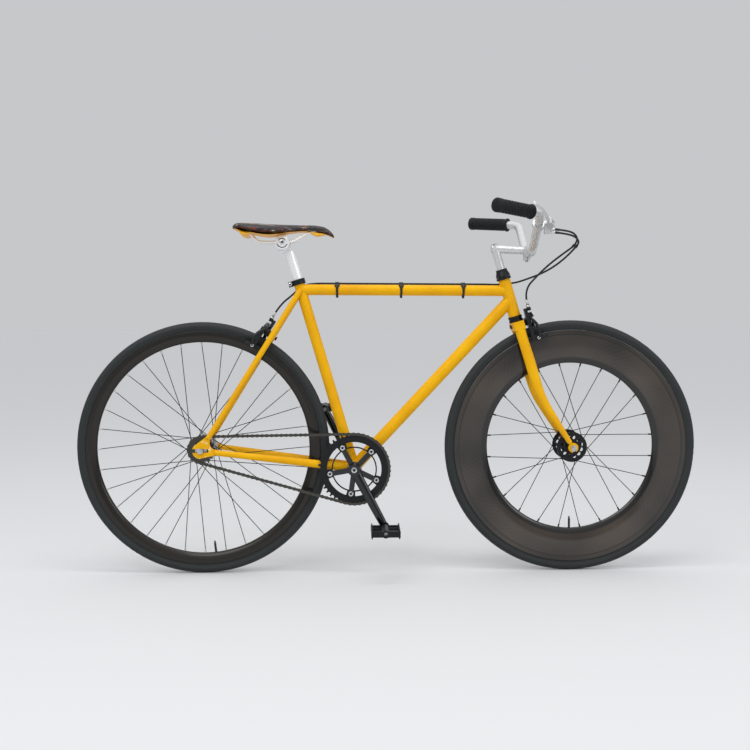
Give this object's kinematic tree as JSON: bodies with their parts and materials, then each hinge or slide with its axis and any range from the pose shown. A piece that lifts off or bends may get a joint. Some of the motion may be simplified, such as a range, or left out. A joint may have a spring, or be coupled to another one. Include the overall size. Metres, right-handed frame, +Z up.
{
  "type": "fixed gear bicycle",
  "caption": "Fixed gear bicycle with a slim diamond frame, deep front rim, swept-back bar, single brake lever working both rim brakes, and a chain drive that always turns with the rear wheel.",
  "frame": {"origin": "on the ground, midway between the two axles", "axes": "+X forwards, +Y to the rider's left, +Z up"},
  "size_m": [1.652, 0.5956, 0.9691],
  "materials": {
    "amber_paint": "satin gloss",
    "amber_plastic": "gloss",
    "black_alloy": "black anodised",
    "silver_alloy": "polished",
    "plated_steel": "plated",
    "black_steel": "black",
    "carbon_rim": "clear-coated carbon",
    "dark_alloy_rim": "black anodised",
    "tyre_rubber": "matte",
    "butyl": "matte",
    "grip_rubber": "matte",
    "cable_housing": "satin",
    "clip_plastic": "satin",
    "saddle_leather": "satin"
  },
  "bodies": {
    "frame": {"head_tube": "amber_paint", "top_tube": "amber_paint", "down_tube": "amber_paint", "seat_tube": "amber_paint", "bottom_bracket_shell": "amber_paint", "chain_stays": "amber_paint", "seat_stays": "amber_paint", "track_ends": "amber_paint", "brake_bridge": "amber_paint", "seat_collar": "black_alloy", "headset_cups": "black_alloy", "bottom_bracket_cups": "plated_steel", "cable_clips": "clip_plastic", "rear_brake_cable": "cable_housing", "rear_caliper_mount": "plated_steel", "rear_axle": "plated_steel", "chain": "plated_steel"},
    "steering": {"steerer_tube": "plated_steel", "fork_crown": "amber_paint", "fork_blades": "amber_paint", "headset_races": "black_alloy", "stem": "silver_alloy", "stem_bolts": "plated_steel", "handlebar": "silver_alloy", "grips": "grip_rubber", "lever_bracket": "silver_alloy", "front_brake_cable": "cable_housing", "rear_brake_cable_loop": "cable_housing", "front_caliper_mount": "plated_steel", "front_axle": "plated_steel"},
    "lever": {"brake_lever": "silver_alloy"},
    "front_stop_arm": {"front_caliper_stop_arm": "black_alloy"},
    "front_anchor_arm": {"front_caliper_anchor_arm": "black_alloy"},
    "rear_stop_arm": {"rear_caliper_stop_arm": "black_alloy"},
    "rear_anchor_arm": {"rear_caliper_anchor_arm": "black_alloy"},
    "front_wheel": {"front_tyre": "tyre_rubber", "front_inner_tube": "butyl", "front_rim": "carbon_rim", "front_spokes": "black_steel", "front_hub": "black_alloy"},
    "rear_wheel": {"rear_tyre": "tyre_rubber", "rear_inner_tube": "butyl", "rear_rim": "dark_alloy_rim", "rear_spokes": "black_steel", "rear_hub": "silver_alloy", "rear_sprocket": "plated_steel"},
    "crankset": {"crank_spindle": "plated_steel", "crank_arm_right": "black_alloy", "crank_arm_left": "black_alloy", "chainring": "black_alloy", "crankset_bolts": "plated_steel", "pedal_axles": "plated_steel"},
    "right_pedal": {"pedal_right": "black_alloy"},
    "left_pedal": {"pedal_left": "black_alloy"},
    "seat": {"seatpost": "silver_alloy", "saddle_clamp": "silver_alloy", "saddle_rails": "plated_steel", "saddle_shell": "amber_plastic", "saddle_cover": "saddle_leather"}
  },
  "joints": [
    {"name": "steer", "type": "hinge", "parent": "frame", "child": "steering", "pos_m": [0.34177, 0, 0.6838], "axis": [-0.2823, 0, 0.9593], "range_deg": [-70, 70], "deforming": ["rear_brake_cable_loop"]},
    {"name": "front_wheel_spin", "type": "hinge", "parent": "steering", "child": "front_wheel", "pos_m": [0.49, 0, 0.336], "axis": [0, 1, 0], "continuous": true},
    {"name": "rear_wheel_spin", "type": "hinge", "parent": "frame", "child": "rear_wheel", "pos_m": [-0.49, 0, 0.336], "axis": [0, 1, 0], "continuous": true, "deforming": ["chain"]},
    {"name": "crank_spin", "type": "hinge", "parent": "frame", "child": "crankset", "pos_m": [-0.08828, 0, 0.282], "axis": [0, 1, 0], "continuous": true},
    {"name": "pedal_right_spin", "type": "hinge", "parent": "crankset", "child": "right_pedal", "pos_m": [-0.00847, 0, 0.1319], "axis": [0, 1, 0], "continuous": true},
    {"name": "pedal_left_spin", "type": "hinge", "parent": "crankset", "child": "left_pedal", "pos_m": [-0.16809, 0, 0.4321], "axis": [0, 1, 0], "continuous": true},
    {"name": "brake_lever_pull", "type": "hinge", "parent": "steering", "child": "lever", "pos_m": [0.40054, -0.18996, 0.91932], "axis": [-0.0714, -0.4394, -0.8954], "range_deg": [0, 11], "stiffness_Nm_per_rad": 2, "springref_deg": -5.73},
    {"name": "front_stop_arm_pivot", "type": "hinge", "parent": "steering", "child": "front_stop_arm", "pos_m": [0.3672, 0, 0.6647], "axis": [0.9593, 0, 0.2823], "range_deg": [0, 2]},
    {"name": "front_anchor_arm_pivot", "type": "hinge", "parent": "steering", "child": "front_anchor_arm", "pos_m": [0.3655, 0.022, 0.67046], "axis": [-0.9593, 0, -0.2823], "range_deg": [0, 1.75]},
    {"name": "rear_stop_arm_pivot", "type": "hinge", "parent": "frame", "child": "rear_stop_arm", "pos_m": [-0.31189, 0, 0.63742], "axis": [-0.8476, 0, 0.5307], "range_deg": [0, 2]},
    {"name": "rear_anchor_arm_pivot", "type": "hinge", "parent": "frame", "child": "rear_anchor_arm", "pos_m": [-0.3087, -0.022, 0.64251], "axis": [0.8476, 0, -0.5307], "range_deg": [0, 1.75]},
    {"name": "seat_height", "type": "slide", "parent": "frame", "child": "seat", "axis": [-0.2807, 0, 0.9598], "range_m": [-0.05, 0.1]}
  ],
  "couplings": [
    {"joint": "crank_spin", "follows": "rear_wheel_spin", "ratio": 0.36956},
    {"joint": "front_stop_arm_pivot", "follows": "brake_lever_pull", "ratio": 0.177},
    {"joint": "front_anchor_arm_pivot", "follows": "brake_lever_pull", "ratio": 0.153},
    {"joint": "rear_stop_arm_pivot", "follows": "brake_lever_pull", "ratio": 0.177},
    {"joint": "rear_anchor_arm_pivot", "follows": "brake_lever_pull", "ratio": 0.153}
  ]
}
